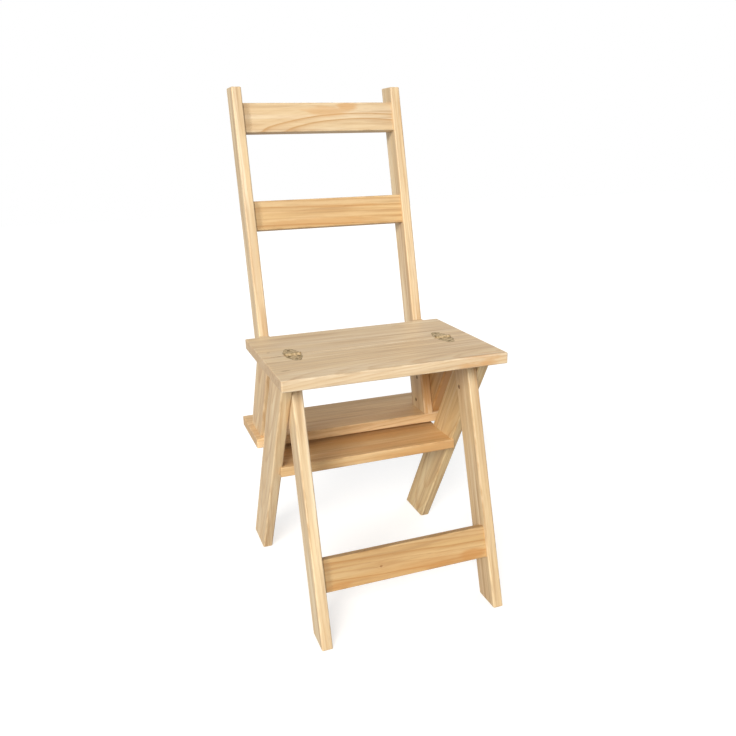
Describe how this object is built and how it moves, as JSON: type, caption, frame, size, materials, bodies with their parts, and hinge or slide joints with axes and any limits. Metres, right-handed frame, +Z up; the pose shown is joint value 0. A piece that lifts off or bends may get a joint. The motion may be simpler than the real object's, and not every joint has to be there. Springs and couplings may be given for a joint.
{
  "type": "convertible step chair",
  "caption": "Pine chair with slatted back and plank treads below the seat; its rear half flips forward on hinges in the seat to stand as a step ladder.",
  "frame": {"origin": "on the floor at the middle of the footprint box, chair standing in its chair position", "axes": "+Z up, the chair faces -Y, +X to the right of a person looking at its front"},
  "size_m": [0.395, 0.5142, 0.904],
  "materials": {
    "pine": "satin",
    "pine_warm": "satin",
    "dowel": "matte",
    "hinge_metal": "aged",
    "screw_metal": "aged"
  },
  "bodies": {
    "frame": {"seat_front": "pine", "front_leg_left": "pine", "front_leg_right": "pine", "rear_leg_left": "pine", "rear_leg_right": "pine", "lower_tread": "pine_warm", "front_stretcher": "pine_warm", "leg_screws": "screw_metal", "seat_front_dowels": "dowel", "lower_tread_dowels": "dowel", "stretcher_dowels": "dowel", "hinge_leaf_front_left": "hinge_metal", "hinge_leaf_front_right": "hinge_metal", "hinge_pins": "hinge_metal", "hinge_screws_front": "hinge_metal"},
    "back": {"seat_rear": "pine", "back_stile_left": "pine", "back_stile_right": "pine", "top_slat": "pine_warm", "middle_slat": "pine_warm", "upper_tread": "pine_warm", "upper_side_left": "pine", "upper_side_right": "pine", "stile_screws": "screw_metal", "slat_dowels": "dowel", "upper_tread_dowels": "dowel", "seat_rear_dowels": "dowel", "hinge_leaf_rear_left": "hinge_metal", "hinge_leaf_rear_right": "hinge_metal", "hinge_screws_rear": "hinge_metal"}
  },
  "joints": [
    {"name": "seat_hinge", "type": "hinge", "parent": "frame", "child": "back", "pos_m": [0, -0.055, 0.45215], "axis": [1, 0, 0], "range_deg": [0, 180]}
  ]
}
